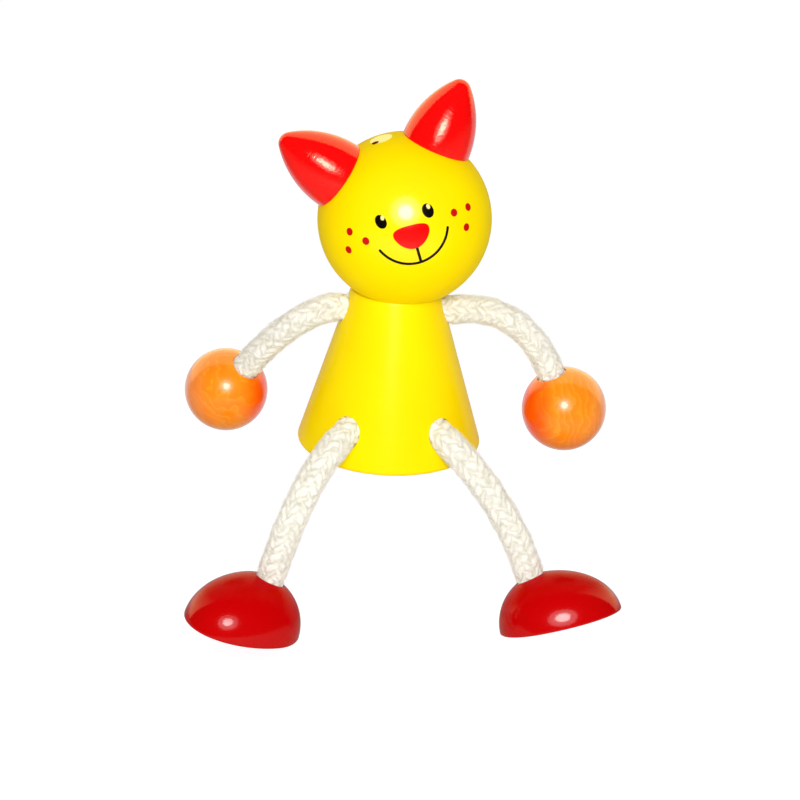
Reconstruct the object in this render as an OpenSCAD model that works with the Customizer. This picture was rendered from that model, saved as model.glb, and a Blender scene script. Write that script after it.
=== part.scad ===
// A small turned-wood cat that sits on an edge and swings its rope arms and legs.
// Millimetres. The origin is the centre of the flat underside, +Z runs up the cone-shaped
// body, and the face and legs are toward -Y. Left and right are the cat's own: its left is +X.

/* [Torso] */
// Diameter of the cone at its flat underside
torso_base_d = 44.4; // [42:0.1:60]
// Diameter of the cone at its flat top
torso_top_d = 20.8; // [19:0.1:24]
// Height of the cone
torso_h = 38.2; // [35:0.1:60]
// Rounding of the bottom edge
torso_edge_r = 0.8; // [0.5:0.1:4]

/* [Head] */
// Diameter of the turned ball
head_d = 40; // [36:0.5:46]
// Diameter of the flat that stands on the torso
head_flat_d = 21.5; // [14:0.1:24]
// How far the head's middle is off the torso's axis, to the cat's left
head_side = 1.3; // [-3:0.1:3]
// How far the face is turned to the cat's left, in degrees
head_turn = 4; // [-20:1:20]
// How far the head leans to the cat's right, in degrees
head_lean = 18.5; // [0:0.5:25]
// How far the face looks down, in degrees
head_nod = 1.5; // [-5:0.5:10]
// Diameter of the hanging hole in the crown
crown_hole_d = 1.6; // [1:0.1:3]
// Depth of the hanging hole
crown_hole_depth = 12; // [6:0.5:14]
// How far the hanging hole is tilted from the crown to the cat's right, in degrees
crown_hole_side = 4.5; // [-8:0.5:8]
// How far the hanging hole is tilted from the crown toward the face, in degrees
crown_hole_fore = 4; // [-8:0.5:8]

/* [Ears] */
// Diameter of an ear where it meets the head
ear_base_d = 16; // [12:0.5:18]
// Radius of the arc that forms an ear's side
ear_side_r = 22.4; // [18:0.1:26]
// Rounding of an ear's tip
ear_tip_r = 2.6; // [1:0.1:3.5]
// Angle between the crown and an ear, in degrees
ear_angle = 38.3; // [34:0.1:48]

/* [Dowels] */
// Diameter of the dowel between torso and head
neck_dowel_d = 6; // [4:0.5:7]
// How deep the neck dowel goes into each piece
neck_dowel_grip = 8; // [5:0.5:12]
// Diameter of the peg in each ear
ear_peg_d = 4; // [3:0.5:6]
// How deep a peg goes into the head
ear_peg_grip = 6; // [4:0.5:8]
// How far a peg stands up into its ear, from the head's surface
ear_peg_rise = 7; // [4:0.5:9]

/* [Ropes] */
// Diameter of the braided rope
rope_d = 6.5; // [5:0.1:7.2]
// How deep an arm rope is glued into the torso
shoulder_grip = 7; // [4:0.5:7]
// How deep a leg rope is glued into the torso
hip_grip = 9; // [5:0.5:10]
// How deep a rope is glued into a hand
hand_grip = 7; // [4:0.5:9]
// How deep a rope is glued into a foot
foot_grip = 7; // [4:0.5:8]
// How far a rope runs on straight from the mouth of its hole in the torso
mouth_straight = 1.2; // [0.5:0.1:2]
// Distance of the arm holes' axis below the torso's top
shoulder_drop = 4.9; // [4.2:0.1:8]
// Height of the leg holes' mouths above the underside
hip_z = 8; // [7:0.1:16]
// Angle of the leg holes from straight ahead, in degrees
hip_angle = 34.5; // [25:0.5:45]
// How far the leg holes point down, in degrees
hip_dip = 15; // [0:1:20]

/* [Hands] */
// Diameter of a turned hand ball
hand_d = 20; // [16:0.5:24]

/* [Feet] */
// Width of a foot, a turned egg sawn in half along its length
foot_w = 24; // [20:0.5:28]
// Length of a foot from its widest place to the toe
foot_toe_l = 16.8; // [13:0.1:20]
// Distance of the rope hole behind the widest place
foot_hole_back = 2.3; // [0:0.1:4]

/* [Right arm] */
// How far the right hand is out from its shoulder hole
right_hand_out = 27.5; // [24:0.1:32]
// How far the right hand is behind its shoulder hole
right_hand_back = 7.9; // [-8:0.1:9]
// How far the right hand is below its shoulder hole
right_hand_drop = 24.6; // [18:0.1:30]
// Compass angle of the rope where it enters the right hand, from +X, in degrees
right_hand_turn = 145; // [130:1:200]
// Downward slope of the rope where it enters the right hand, in degrees
right_hand_slope = 51.4; // [40:0.1:80]
// How long the rope keeps its direction out of the right shoulder
right_shoulder_pull = 2.4; // [2:0.1:10]
// How long the rope is in line with the right hand's hole
right_hand_pull = 21.6; // [8:0.1:22]

/* [Left arm] */
// How far the left hand is out from its shoulder hole
left_hand_out = 29.1; // [24:0.1:32]
// How far the left hand is behind its shoulder hole
left_hand_back = -5.7; // [-8:0.1:9]
// How far the left hand is below its shoulder hole
left_hand_drop = 22.2; // [18:0.1:30]
// Compass angle of the rope where it enters the left hand, from +X, in degrees
left_hand_turn = -4; // [-40:1:40]
// Downward slope of the rope where it enters the left hand, in degrees
left_hand_slope = 66.9; // [40:0.1:80]
// How long the rope keeps its direction out of the left shoulder
left_shoulder_pull = 2.4; // [2:0.1:10]
// How long the rope is in line with the left hand's hole
left_hand_pull = 20.5; // [8:0.1:22]

/* [Right leg] */
// How far the right foot's hole is out from its hip hole
right_foot_out = 16.7; // [10:0.1:24]
// How far the right foot's hole is ahead of its hip hole
right_foot_ahead = 15.5; // [12:0.1:24]
// How far the right foot's hole is below its hip hole
right_foot_drop = 29.6; // [26:0.1:36]
// Compass angle of the rope where it enters the right foot, from +X, in degrees
right_foot_turn = 201; // [180:1:240]
// Downward slope of the rope where it enters the right foot, in degrees
right_foot_slope = 73; // [55:1:85]
// Compass angle of the right toe, from +X, in degrees
right_toe_turn = 218; // [180:1:270]
// How long the rope keeps its direction out of the right hip
right_hip_pull = 11.6; // [6:0.1:16]
// How long the rope is in line with the right foot's hole
right_foot_pull = 17; // [6:0.1:18]

/* [Left leg] */
// How far the left foot's hole is out from its hip hole
left_foot_out = 20.9; // [14:0.1:26]
// How far the left foot's hole is ahead of its hip hole
left_foot_ahead = 14.4; // [12:0.1:24]
// How far the left foot's hole is below its hip hole
left_foot_drop = 29; // [26:0.1:36]
// Compass angle of the rope where it enters the left foot, from +X, in degrees
left_foot_turn = 306; // [280:1:340]
// Downward slope of the rope where it enters the left foot, in degrees
left_foot_slope = 64; // [55:1:85]
// Compass angle of the left toe, from +X, in degrees
left_toe_turn = -20; // [-70:1:20]
// How long the rope keeps its direction out of the left hip
left_hip_pull = 8; // [6:0.1:16]
// How long the rope is in line with the left foot's hole
left_foot_pull = 14.2; // [6:0.1:18]

/* [Fits] */
// Gap all round a glued rope end in its hole
rope_clearance = 0.2; // [0.1:0.05:0.3]
// Glue film round dowels and under the ears
glue_gap = 0.05; // [0.02:0.01:0.1]

/* [Hidden] */
$fn = 96;

// Numbers that set how finely the ropes and feet are drawn
rope_sides = 12;
rope_rings = 18;
egg_steps = 40;
// A cutting body goes this far past the surface that it cuts
overcut = 1;
// A direction whose upright part is over this is taken as upright
upright = 0.9;
// Side of a block that is larger than any piece it trims
block = 200;

head_r = head_d / 2;
hand_r = hand_d / 2;
rope_r = rope_d / 2;
rope_hole_r = rope_r + rope_clearance;
foot_r = foot_w / 2;
base_r = torso_base_d / 2;
top_r = torso_top_d / 2;
crown_r = crown_hole_d / 2;
ear_base_r = ear_base_d / 2;
neck_hole_r = neck_dowel_d / 2 + glue_gap;
peg_hole_r = ear_peg_d / 2 + glue_gap;

// Length and place of the torso's slanted side, and the middle of its bottom rounding
side_run = base_r - top_r;
side_l = sqrt(torso_h * torso_h + side_run * side_run);
edge_x = base_r - torso_edge_r * (side_l + side_run) / torso_h;
edge_out = torso_edge_r * torso_h / side_l;
edge_up = torso_edge_r * side_run / side_l;

// Height of the head's middle, which its flat sets
head_z = torso_h + sqrt(head_r * head_r - head_flat_d * head_flat_d / 4);

// The ear's arc has its middle outside the far side, and a small ball closes the tip
ear_arc_x = ear_base_r - ear_side_r;
ear_base_z = sqrt(head_r * head_r - ear_base_r * ear_base_r);
ear_tip_z = sqrt(pow(ear_side_r - ear_tip_r, 2) - ear_arc_x * ear_arc_x);
ear_join_z = ear_tip_z * ear_side_r / (ear_side_r - ear_tip_r);

function unit(v) = v / norm(v);
function heading(turn, rise) = [cos(turn) * cos(rise), sin(turn) * cos(rise), sin(rise)];
function level_heading(turn) = [cos(turn), sin(turn)];
function cone_r(z) = base_r - side_run * z / torso_h;
function mid(a, b, t) = a + (b - a) * t;

// How far a hand's middle is from the edge of its hole, and a sole from its foot's hole
hand_mouth = sqrt(hand_r * hand_r - rope_r * rope_r);
foot_dome_z = sqrt(foot_r * foot_r - foot_hole_back * foot_hole_back);
foot_mouth = foot_dome_z - (foot_r - sqrt(foot_r * foot_r - rope_r * rope_r));

shoulder_z = torso_h - shoulder_drop;
right_shoulder = [-cone_r(shoulder_z), 0, shoulder_z];
left_shoulder = [cone_r(shoulder_z), 0, shoulder_z];
right_hip_way = heading(270 - hip_angle, -hip_dip);
left_hip_way = heading(270 + hip_angle, -hip_dip);
right_hip = concat(cone_r(hip_z) * level_heading(270 - hip_angle), hip_z);
left_hip = concat(cone_r(hip_z) * level_heading(270 + hip_angle), hip_z);

right_hand_at = right_shoulder + [-right_hand_out, right_hand_back, -right_hand_drop];
left_hand_at = left_shoulder + [left_hand_out, left_hand_back, -left_hand_drop];
right_hand_way = heading(right_hand_turn, -right_hand_slope);
left_hand_way = heading(left_hand_turn, -left_hand_slope);
right_foot_mouth = right_hip + [-right_foot_out, -right_foot_ahead, -right_foot_drop];
left_foot_mouth = left_hip + [left_foot_out, -left_foot_ahead, -left_foot_drop];
right_foot_way = heading(right_foot_turn, -right_foot_slope);
left_foot_way = heading(left_foot_turn, -left_foot_slope);

// A limb is its free rope's course: where it starts to bend at the torso, the way there and how
// long the rope keeps to it, then the same where the rope enters the hand or foot
right_arm = [right_shoulder - [mouth_straight, 0, 0], [-1, 0, 0], right_shoulder_pull,
    right_hand_at - hand_mouth * right_hand_way, right_hand_way, right_hand_pull];
left_arm = [left_shoulder + [mouth_straight, 0, 0], [1, 0, 0], left_shoulder_pull,
    left_hand_at - hand_mouth * left_hand_way, left_hand_way, left_hand_pull];
right_leg = [right_hip + mouth_straight * right_hip_way, right_hip_way, right_hip_pull,
    right_foot_mouth, right_foot_way, right_foot_pull];
left_leg = [left_hip + mouth_straight * left_hip_way, left_hip_way, left_hip_pull,
    left_foot_mouth, left_foot_way, left_foot_pull];

// The free rope is a cubic curve between its two ends
function curve(limb, t) =
    let (a = limb[0], b = limb[0] + limb[2] * limb[1])
    let (d = limb[3], c = limb[3] - limb[5] * limb[4])
    let (ab = mid(a, b, t), bc = mid(b, c, t), cd = mid(c, d, t))
    mid(mid(ab, bc, t), mid(bc, cd, t), t);

function course(limb, grip, end_grip) = concat(
    [limb[0] - grip * limb[1]],
    [for (i = [0 : rope_rings]) curve(limb, i / rope_rings)],
    [limb[3] + end_grip * limb[4]]);

// One solid tube round a course, with every ring square to the rope
module rope(limb, grip, end_grip) {
    points = course(limb, grip, end_grip);
    count = len(points);
    level = unit(cross(limb[1], limb[4]));
    function way(i) = unit(points[min(i + 1, count - 1)] - points[max(i - 1, 0)]);
    function ring(i) =
        let (side = unit(cross(way(i), level)), up = cross(way(i), side))
        [for (k = [0 : rope_sides - 1]) let (a = 360 * k / rope_sides)
            points[i] + rope_r * (cos(a) * side + sin(a) * up)];
    skin = [for (i = [0 : count - 1]) each ring(i)];
    walls = [for (i = [0 : count - 2], k = [0 : rope_sides - 1])
        let (n = (k + 1) % rope_sides, low = i * rope_sides, high = low + rope_sides)
        each [[low + k, low + n, high + n], [low + k, high + n, high + k]]];
    first_end = [for (k = [1 : rope_sides - 2]) [0, k + 1, k]];
    last = (count - 1) * rope_sides;
    last_end = [for (k = [1 : rope_sides - 2]) [last, last + k, last + k + 1]];
    polyhedron(skin, concat(walls, first_end, last_end));
}

// Stands its children at a point with their z axis along a direction
module along(point, way) {
    side = unit(cross(abs(way[2]) > upright ? [1, 0, 0] : [0, 0, 1], way));
    up = cross(way, side);
    multmatrix([
        [side[0], up[0], way[0], point[0]],
        [side[1], up[1], way[1], point[1]],
        [side[2], up[2], way[2], point[2]],
        [0, 0, 0, 1]]) children();
}

// A blind hole for a rope's end: grip deep behind the mouth, open beyond it
module rope_hole(mouth, way, grip) {
    along(mouth - (grip + rope_clearance) * way, way)
        cylinder(r = rope_hole_r, h = grip + rope_clearance + rope_d);
}

// Moves its children from the head's own frame, with z through the crown, to its place
module on_head() {
    translate([head_side, 0, head_z])
        rotate([head_nod, -head_lean, head_turn]) children();
}

// The same for the hanging hole, whose axis has its own tilt
module on_hole() {
    on_head() rotate([crown_hole_fore, -crown_hole_side, 0]) children();
}

// The same for one ear, whose axis leans to the given side of the crown
module on_ear(side) {
    on_head() rotate([0, side * ear_angle, 0]) children();
}

module torso() {
    color("gold") difference() {
        rotate([0, 0, 90]) rotate_extrude() union() {
            polygon([[0, 0], [edge_x, 0], [edge_x, torso_edge_r],
                [edge_x + edge_out, torso_edge_r + edge_up], [top_r, torso_h], [0, torso_h]]);
            intersection() {
                translate([edge_x, torso_edge_r]) circle(torso_edge_r);
                square([base_r, torso_h]);
            }
        }
        translate([0, 0, torso_h - neck_dowel_grip - glue_gap])
            cylinder(r = neck_hole_r, h = neck_dowel_grip + glue_gap + overcut);
        rope_hole(right_shoulder, [-1, 0, 0], shoulder_grip);
        rope_hole(left_shoulder, [1, 0, 0], shoulder_grip);
        rope_hole(right_hip, right_hip_way, hip_grip);
        rope_hole(left_hip, left_hip_way, hip_grip);
    }
}

module head() {
    color("gold") difference() {
        on_hole() rotate([0, 0, 90]) sphere(head_r);
        translate([-block / 2, -block / 2, torso_h - block]) cube(block);
        translate([0, 0, torso_h - overcut])
            cylinder(r = neck_hole_r, h = neck_dowel_grip + glue_gap + overcut);
        on_hole() translate([0, 0, head_r - crown_hole_depth])
            cylinder(r = crown_r, h = crown_hole_depth + overcut);
        for (side = [-1, 1]) on_ear(side)
            translate([0, 0, head_r - ear_peg_grip - glue_gap])
                cylinder(r = peg_hole_r, h = ear_peg_grip + glue_gap + overcut);
    }
}

module neck_dowel() {
    color("burlywood") translate([0, 0, torso_h - neck_dowel_grip])
        cylinder(d = neck_dowel_d, h = 2 * neck_dowel_grip);
}

// A pointed arch turned round its axis, hollowed below to sit on the ball
module ear(side) {
    color("red") on_ear(side) difference() {
        translate([0, 0, ear_base_z]) rotate_extrude() {
            intersection() {
                translate([ear_arc_x, 0]) circle(ear_side_r);
                square([ear_base_r, ear_join_z]);
            }
            intersection() {
                translate([0, ear_tip_z]) circle(ear_tip_r);
                square([ear_base_r, ear_side_r]);
            }
        }
        sphere(head_r + glue_gap);
        cylinder(r = peg_hole_r, h = head_r + ear_peg_rise + glue_gap);
    }
}

module ear_peg(side) {
    color("burlywood") on_ear(side) translate([0, 0, head_r - ear_peg_grip])
        cylinder(d = ear_peg_d, h = ear_peg_grip + ear_peg_rise);
}

module hand(at, limb) {
    hole_end = hand_mouth - hand_grip - rope_clearance;
    color("darkorange") along(at, -limb[4]) difference() {
        sphere(hand_r);
        translate([0, 0, hole_end]) cylinder(r = rope_hole_r, h = hand_r);
    }
}

// Half a turned egg: a round heel and a longer toe, sole down, with the rope hole square
// to the sole and a little behind the widest place
module foot(limb, toe_turn) {
    up = -limb[4];
    level_toe = concat(level_heading(toe_turn), 0);
    toe = unit(level_toe - (level_toe * up) * up);
    side = cross(up, toe);
    at = limb[3] - foot_mouth * up + foot_hole_back * toe;
    outline = [for (i = [0 : egg_steps]) let (a = 180 * i / egg_steps)
        [foot_r * sin(a), (a < 90 ? foot_toe_l : foot_r) * cos(a)]];
    color("firebrick") difference() {
        multmatrix([
            [toe[0], side[0], up[0], at[0]],
            [toe[1], side[1], up[1], at[1]],
            [toe[2], side[2], up[2], at[2]],
            [0, 0, 0, 1]])
            intersection() {
                rotate([0, 90, 0]) rotate_extrude() polygon(outline);
                translate([-block / 2, -block / 2, 0]) cube(block);
            }
        rope_hole(limb[3], up, foot_grip);
    }
}

module left_ear() { ear(1); }
module right_ear() { ear(-1); }
module left_ear_peg() { ear_peg(1); }
module right_ear_peg() { ear_peg(-1); }
module left_arm_rope() { color("ivory") rope(left_arm, shoulder_grip + mouth_straight, hand_grip); }
module right_arm_rope() { color("ivory") rope(right_arm, shoulder_grip + mouth_straight, hand_grip); }
module left_leg_rope() { color("ivory") rope(left_leg, hip_grip + mouth_straight, foot_grip); }
module right_leg_rope() { color("ivory") rope(right_leg, hip_grip + mouth_straight, foot_grip); }
module left_hand() { hand(left_hand_at, left_arm); }
module right_hand() { hand(right_hand_at, right_arm); }
module left_foot() { foot(left_leg, left_toe_turn); }
module right_foot() { foot(right_leg, right_toe_turn); }

torso();
head();
neck_dowel();
left_ear();
right_ear();
left_ear_peg();
right_ear_peg();
left_arm_rope();
right_arm_rope();
left_leg_rope();
right_leg_rope();
left_hand();
right_hand();
left_foot();
right_foot();
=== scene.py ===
# %% [markdown]
# # A wooden cat that swings its rope limbs
# The toy is turned and painted wood, joined by braided cotton rope. This lesson builds its looks
# round a fixed frame, where every piece already has its size and place. Lengths are in metres, +Z is
# up, the face looks toward -Y, and the cat's own left is toward +X.

# %% The fixed frame
import math
import bpy
import numpy as np
from mathutils import Matrix


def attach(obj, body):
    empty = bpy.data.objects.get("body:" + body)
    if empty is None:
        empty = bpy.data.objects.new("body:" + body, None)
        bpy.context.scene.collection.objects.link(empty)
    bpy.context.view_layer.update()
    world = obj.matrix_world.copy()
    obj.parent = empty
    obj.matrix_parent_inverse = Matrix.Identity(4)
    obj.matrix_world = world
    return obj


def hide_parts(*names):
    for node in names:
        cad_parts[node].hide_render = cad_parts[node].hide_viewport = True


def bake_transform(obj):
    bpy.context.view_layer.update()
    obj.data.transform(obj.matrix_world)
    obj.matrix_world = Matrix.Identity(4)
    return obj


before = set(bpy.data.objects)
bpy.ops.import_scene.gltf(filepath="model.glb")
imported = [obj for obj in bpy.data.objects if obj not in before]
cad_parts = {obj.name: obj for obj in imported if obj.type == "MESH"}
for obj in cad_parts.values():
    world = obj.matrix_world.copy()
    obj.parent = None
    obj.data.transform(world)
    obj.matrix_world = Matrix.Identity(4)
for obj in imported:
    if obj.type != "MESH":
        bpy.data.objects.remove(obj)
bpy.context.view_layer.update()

print("nodes:", sorted(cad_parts))

# %% [markdown]
# ## The camera
# The picture is taken from a little above and to the cat's right, so near that the feet look larger
# than they are. Only the distance decides that look, and the lens how large the toy comes out. The
# camera stands 407 mm from a point just above the seat, 22.7 degrees up, and is rolled 2.9 degrees.

# %% Place the camera
mm = 0.001
camera_aim = np.array([2.27, -0.54, 10.26]) * mm
camera_far, camera_rise, camera_turn, camera_roll = 406.9 * mm, 22.67, 4.5, 2.85

def heading(turn, rise):
    """The direction at a compass turn from +X and a rise above level, both in degrees."""
    turn, rise = math.radians(turn), math.radians(rise)
    return np.array([math.cos(turn) * math.cos(rise), math.sin(turn) * math.cos(rise), math.sin(rise)])

def unit(vectors):
    """Vectors brought to length 1."""
    return vectors / np.linalg.norm(vectors, axis=-1, keepdims=True)

def stand(obj, axes, at):
    """Puts an object in the scene at a point, with its x, y and z along three directions."""
    place = np.eye(4)
    place[:3, :3] = np.stack(axes, 1)
    place[:3, 3] = at
    obj.matrix_world = Matrix(place.tolist())
    bpy.context.scene.collection.objects.link(obj)

toward_camera = heading(-90 - camera_turn, camera_rise)
level_right = heading(-camera_turn, 0)
level_up = np.cross(toward_camera, level_right)
roll = math.radians(camera_roll)
right = math.cos(roll) * level_right + math.sin(roll) * level_up
up = np.cross(toward_camera, right)
camera_at = camera_aim + camera_far * toward_camera

camera = bpy.data.objects.new("camera", bpy.data.cameras.new("camera"))
camera.data.lens, camera.data.sensor_width = 76.5, 36.0
camera.data.clip_start, camera.data.clip_end = 0.01, 20.0
stand(camera, (right, up, toward_camera), camera_at)
bpy.context.scene.camera = camera
print("camera at", camera_at.round(4))

# %% [markdown]
# ## From rows of points to a closed skin
# Nearly every piece here is a pile of rings: one outline carried round or along something. A ring is
# a row of points, so a piece is one array of shape (rings, points, 3). A fan of triangles closes each
# end. Where the enclosed volume comes out negative, the faces point inwards and are turned round.

# %% Put arrays into a mesh
def volume_of(points, quads, triangles):
    """The enclosed volume: the sum over all triangles, with quads halved, of a . (b x c) / 6."""
    halves = np.concatenate([quads[:, [0, 1, 2]], quads[:, [0, 2, 3]], triangles])
    a, b, c = (points[halves[:, k]] for k in range(3))
    return float((a * np.cross(b, c)).sum() / 6)

def make_piece(name, points, quads, triangles, flat=0):
    """A mesh object from whole arrays. The last `flat` triangles are shaded flat, the rest smooth."""
    volume = volume_of(points, quads, triangles)
    if volume < 0:
        quads, triangles = quads[:, ::-1], triangles[:, ::-1]
    mesh = bpy.data.meshes.new(name)
    mesh.vertices.add(len(points))
    mesh.vertices.foreach_set("co", points.astype(np.float32).ravel())
    corners = np.concatenate([quads.ravel(), triangles.ravel()]).astype(np.int32)
    starts = np.concatenate([np.arange(len(quads)) * 4, len(quads) * 4 + np.arange(len(triangles)) * 3])
    mesh.loops.add(len(corners))
    mesh.loops.foreach_set("vertex_index", corners)
    mesh.polygons.add(len(starts))
    mesh.polygons.foreach_set("loop_start", starts.astype(np.int32))
    mesh.polygons.foreach_set("use_smooth", np.arange(len(starts)) < len(starts) - flat)
    mesh.update(calc_edges=True)
    mesh.validate()
    piece = bpy.data.objects.new(name, mesh)
    bpy.context.scene.collection.objects.link(piece)
    print(f"{name}: {2 * len(quads) + len(triangles)} triangles, {abs(volume) / mm ** 3:.0f} mm3")
    return piece

# %% Join rings into a closed skin
def ring_faces(first, second):
    """Quads between two rings of point numbers that run the same way round."""
    return np.stack([first, np.roll(first, -1, -1), np.roll(second, -1, -1), second], -1).reshape(-1, 4)

def fan(ring, pole):
    """Triangles from a ring of point numbers to one more point."""
    return np.stack([ring, np.roll(ring, -1), np.full(len(ring), pole)], -1)

def skin_of(rings, ends):
    """Points, quads and triangles of rings joined side by side, with a fan to each of two points."""
    index = np.arange(rings[..., 0].size).reshape(rings.shape[:2])
    fans = [fan(index[0][::-1], index.size), fan(index[-1], index.size + 1)]
    return np.vstack([rings.reshape(-1, 3), *ends]), ring_faces(index[:-1], index[1:]), np.concatenate(fans)

def placed(points, axes, at):
    """Points of a piece's own frame moved into the toy's: the rows of `axes` are its x, y and z."""
    return np.asarray(points) @ axes + at

def closed_skin(name, rings, ends, axes=np.eye(3), at=0):
    """A piece from rings and two end points, moved from its own frame to its place in the toy."""
    return make_piece(name, *skin_of(placed(rings, axes, at), placed(ends, axes, at)))

# %% Turn an outline round an axis
def turned(outline, around):
    """Rings of a lathe: each outline point (radius, height) goes round as (r cos t, r sin t, h)."""
    t = np.linspace(0, 2 * np.pi, around, endpoint=False)
    r, h = outline[:, 0, None], outline[:, 1, None]
    return np.stack([r * np.cos(t), r * np.sin(t), h + 0 * t], -1)

def arc(middle, radius, start, end, steps):
    """Outline points on a circle, from one angle to another in degrees, outwards from +r to +h."""
    a = np.radians(np.linspace(start, end, steps))
    return np.stack([middle[0] + radius * np.cos(a), middle[1] + radius * np.sin(a)], -1)

line = np.linspace    # outline points at even steps from one point to another

# %% [markdown]
# ## Sizes
# The toy is made from stock shapes, so these few sizes are enough, and they are the solids' own. Only
# the rope holes go no deeper here than one can look into them, and the crown's flat is added here.

# %% Sizes of the wood and the rope
torso_base_r, torso_top_r, torso_h, torso_edge_r = 22.2 * mm, 10.4 * mm, 38.2 * mm, 0.8 * mm
head_r, head_flat_r, head_side = 20 * mm, 10.75 * mm, 1.3 * mm
head_turn, head_lean, head_nod, crown_flat_r = 4, 18.5, 1.5, 2.6 * mm
crown_hole_r, crown_hole_depth, crown_hole_side, crown_hole_fore = 0.8 * mm, 12 * mm, 4.5, 4
ear_base_r, ear_side_r, ear_tip_r, ear_angle = 8 * mm, 22.4 * mm, 2.6 * mm, 38.3
rope_r, rope_room = 3.25 * mm, 0.2 * mm
hand_r, foot_r, foot_toe, foot_hole_back = 10 * mm, 12 * mm, 16.8 * mm, 2.3 * mm
shoulder_z, hip_z, hip_angle, hip_dip, mouth_straight = 33.3 * mm, 8 * mm, 34.5, 15, 1.2 * mm
hole_r = rope_r + rope_room
hole_lip = 0.15 * mm
lip_r = hole_r + hole_lip
hole_depth = 3.5 * mm
taper = torso_base_r - torso_top_r
slope = taper / torso_h

def cone_r(z):
    """Radius of the torso's slanted side at a height."""
    return torso_base_r - slope * z

# %% [markdown]
# ## How each limb runs
# A rope leaves its hole straight, bends under what it carries, and goes straight into the hand or
# foot. A cubic curve does exactly that: its inner points lie on the two directions, and the further
# out they lie, the longer the rope keeps to each one.

# %% The four limbs
hand_mouth = math.sqrt(hand_r ** 2 - rope_r ** 2)
foot_mouth = math.sqrt(foot_r ** 2 - foot_hole_back ** 2) - (foot_r - math.sqrt(foot_r ** 2 - rope_r ** 2))

def limb_from(compass, dip, z, reach, turn, end_dip, inset, *pulls):
    """A limb's curve: the mouth and way of its hole, the mouth and way of the hand or foot, and how
    long each way is kept. It starts a little outside the hole, so that the rope leaves it straight."""
    way, end_way = heading(compass, -dip), heading(turn, -end_dip)
    mouth = cone_r(z) * heading(compass, 0) + [0, 0, z]
    middle = mouth + np.array(reach) * mm
    return dict(compass=compass, mouth=mouth, way=way, start=mouth + mouth_straight * way, middle=middle,
                end=middle - inset * end_way, end_way=end_way, pulls=np.array(pulls) * mm)

limbs = {
    "right_arm": limb_from(180, 0, shoulder_z, (-27.5, 7.9, -24.6), 145, 51.4, hand_mouth, 2.4, 21.6),
    "left_arm": limb_from(0, 0, shoulder_z, (29.1, -5.7, -22.2), -4, 66.9, hand_mouth, 2.4, 20.5),
    "right_leg": limb_from(270 - hip_angle, hip_dip, hip_z, (-16.7, -15.5, -29.6), 201, 73, 0, 11.6, 17.0),
    "left_leg": limb_from(270 + hip_angle, hip_dip, hip_z, (20.9, -14.4, -29.0), 306, 64, 0, 8.0, 14.2),
}
for name, limb in limbs.items():
    print(name, "from", (limb["start"] / mm).round(1), "to", (limb["end"] / mm).round(1))

# %% [markdown]
# ## The torso
# One cone, turned on a lathe, drilled four times and painted. A lathe outline gives the cone at once,
# but cutting the holes with a boolean leaves long thin faces that shade badly. So a window of the
# grid is left out round each hole, and rings of points lead from the hole's lip to the window's edge,
# each dropped on the cone along the hole's own direction. That keeps the paint smooth up to the lip.

# %% The torso's lathe grid
edge_x = torso_base_r - torso_edge_r * (math.hypot(torso_h, taper) + taper) / torso_h
tilt = math.degrees(math.atan(slope))
top_edge, centre_r = 0.25 * mm, 0.5 * mm
side_low, side_high = torso_edge_r * (1 + math.sin(math.radians(tilt))), torso_h - top_edge
around, base_steps, edge_steps = 288, 16, 16
side_rows = np.linspace(side_low, side_high, 100)
outline = np.concatenate([
    line((centre_r, 0), (edge_x, 0), base_steps)[:-1],
    arc((edge_x, torso_edge_r), torso_edge_r, -90, tilt, edge_steps)[:-1],
    np.stack([cone_r(side_rows), side_rows], -1),
    arc((cone_r(side_high) - top_edge * 1.2, side_high), top_edge, 20, 90, 5),
    line((torso_top_r - 0.6 * mm, torso_h), (centre_r, torso_h), 10)])
torso_rings = turned(outline, around)
first_side = base_steps + edge_steps - 2
print("torso grid", torso_rings.shape)

# %% Drop points on the cone
def on_cone(mouth, way, out, radius):
    """The points at `radius` from a hole's axis in the directions `out`, moved along the axis onto
    the cone: with q the point, w the way and k the slope, s solves
    (qx + s wx)^2 + (qy + s wy)^2 = (R - k (qz + s wz))^2."""
    q = mouth + radius * out
    left = torso_base_r - slope * q[:, 2]
    a = way[:2] @ way[:2] - (slope * way[2]) ** 2
    b = 2 * (q[:, :2] @ way[:2] + slope * way[2] * left)
    c = (q[:, :2] ** 2).sum(1) - left ** 2
    s = (-b + np.sqrt(b * b - 4 * a * c)) / (2 * a)
    return q + s[:, None] * way

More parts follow.
